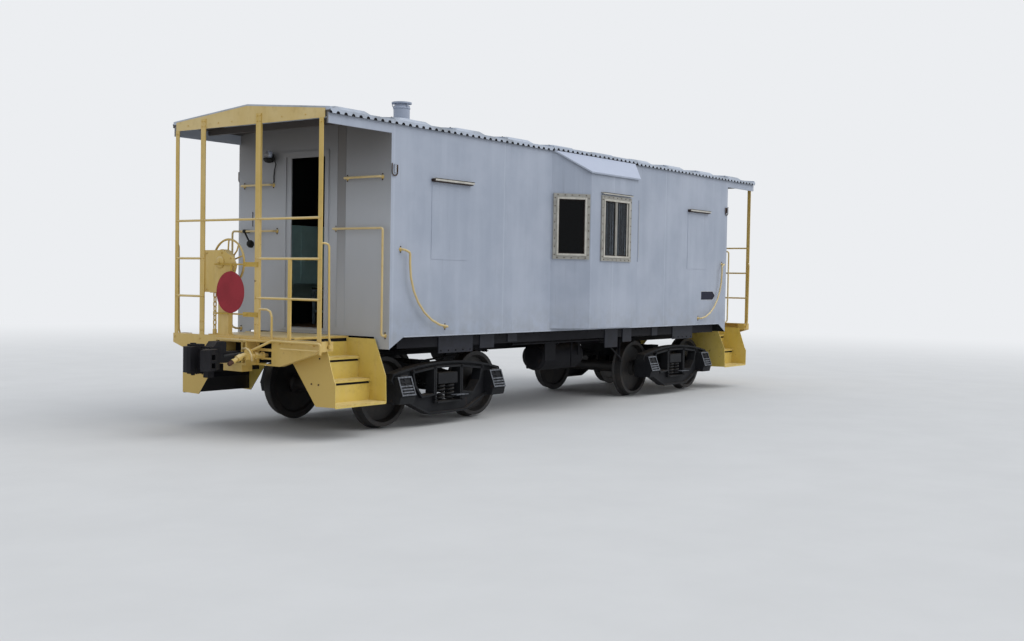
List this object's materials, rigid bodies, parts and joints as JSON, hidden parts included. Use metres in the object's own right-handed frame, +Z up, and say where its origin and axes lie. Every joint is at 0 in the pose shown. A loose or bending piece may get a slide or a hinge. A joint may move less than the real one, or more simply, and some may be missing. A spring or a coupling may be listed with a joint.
{
  "type": "bay window caboose",
  "caption": "Steel bay window caboose with open end platforms, steps and railings, hand brakes, hinged end doors and two swivelling trucks with rolling wheelsets.",
  "frame": {"origin": "under the car's centre, at the lowest point of the wheel flanges", "axes": "+X along the car, +Y across it, +Z up"},
  "size_m": [11.8926, 3.312, 3.9998],
  "materials": {
    "body_enamel": "satin silver grey enamel, faded",
    "roof_enamel": "weathered silver grey enamel",
    "yellow_enamel": "satin yellow enamel, chipped",
    "running_gear_black": "black, dusty",
    "wheel_steel": "dark rusty steel",
    "window_glass": "dusty glass",
    "red_enamel": "dull red",
    "frame_grey": "worn pale paint",
    "floor_wood": "worn boards",
    "seat_vinyl": "dark vinyl",
    "stove_black": "dull black",
    "door_green": "dull green enamel",
    "cabin_green": "dull green enamel"
  },
  "bodies": {
    "car_body": {"air_reservoir": "running_gear_black", "bay_far": "body_enamel", "bay_near": "body_enamel", "bay_seats": "seat_vinyl", "brake_cylinder": "running_gear_black", "brake_pipes": "yellow_enamel", "canopy_boards": "body_enamel", "canopy_ends": "yellow_enamel", "chair": "seat_vinyl", "chimney": "body_enamel", "coupler_left": "running_gear_black", "coupler_right": "running_gear_black", "cross_bearers": "running_gear_black", "cut_levers": "yellow_enamel", "end_discs": "red_enamel", "end_grab_irons": "yellow_enamel", "end_wall_left": "body_enamel", "end_wall_right": "body_enamel", "floor": "floor_wood", "glass": "window_glass", "hand_brake_left": "yellow_enamel", "hand_brake_right": "yellow_enamel", "lockers": "cabin_green", "platform_left": "yellow_enamel", "platform_right": "yellow_enamel", "railings_left": "yellow_enamel", "railings_right": "yellow_enamel", "roof": "roof_enamel", "side_grab_irons": "yellow_enamel", "side_sills": "running_gear_black", "side_wall_far": "body_enamel", "side_wall_near": "body_enamel", "sill_plates": "running_gear_black", "steps_left": "yellow_enamel", "steps_right": "yellow_enamel", "stove": "stove_black", "train_pipe": "running_gear_black", "underframe": "running_gear_black", "window_blanks": "body_enamel", "window_frames": "frame_grey"},
    "truck_left": {"bolster_left": "running_gear_black", "brake_beams_left": "running_gear_black", "side_frames_left": "running_gear_black", "springs_left": "running_gear_black"},
    "truck_right": {"bolster_right": "running_gear_black", "brake_beams_right": "running_gear_black", "side_frames_right": "running_gear_black", "springs_right": "running_gear_black"},
    "door_left": {"door_glass_left": "window_glass", "door_left": "door_green"},
    "door_right": {"door_glass_right": "window_glass", "door_right": "door_green"},
    "wheelset_left_inner": {"wheelset_left_inner": "wheel_steel"},
    "wheelset_left_outer": {"wheelset_left_outer": "wheel_steel"},
    "wheelset_right_inner": {"wheelset_right_inner": "wheel_steel"},
    "wheelset_right_outer": {"wheelset_right_outer": "wheel_steel"}
  },
  "joints": [
    {"name": "truck_left_swivel", "type": "hinge", "parent": "car_body", "child": "truck_left", "pos_m": [-2.877, 0, 0.8], "axis": [0, 0, 1], "range_deg": [-4, 4]},
    {"name": "wheelset_left_outer_roll", "type": "hinge", "parent": "truck_left", "child": "wheelset_left_outer", "pos_m": [-3.749, 0, 0.444], "axis": [0, 1, 0], "continuous": true},
    {"name": "wheelset_left_inner_roll", "type": "hinge", "parent": "truck_left", "child": "wheelset_left_inner", "pos_m": [-2.005, 0, 0.444], "axis": [0, 1, 0], "continuous": true},
    {"name": "door_left_hinge", "type": "hinge", "parent": "car_body", "child": "door_left", "pos_m": [-4.121, -0.238, 2.2], "axis": [0, 0, 1], "range_deg": [-12, 90]},
    {"name": "truck_right_swivel", "type": "hinge", "parent": "car_body", "child": "truck_right", "pos_m": [2.877, 0, 0.8], "axis": [0, 0, 1], "range_deg": [-4, 4]},
    {"name": "wheelset_right_outer_roll", "type": "hinge", "parent": "truck_right", "child": "wheelset_right_outer", "pos_m": [3.749, 0, 0.444], "axis": [0, 1, 0], "continuous": true},
    {"name": "wheelset_right_inner_roll", "type": "hinge", "parent": "truck_right", "child": "wheelset_right_inner", "pos_m": [2.005, 0, 0.444], "axis": [0, 1, 0], "continuous": true},
    {"name": "door_right_hinge", "type": "hinge", "parent": "car_body", "child": "door_right", "pos_m": [4.121, 0.238, 2.2], "axis": [0, 0, 1], "range_deg": [-12, 90]}
  ]
}
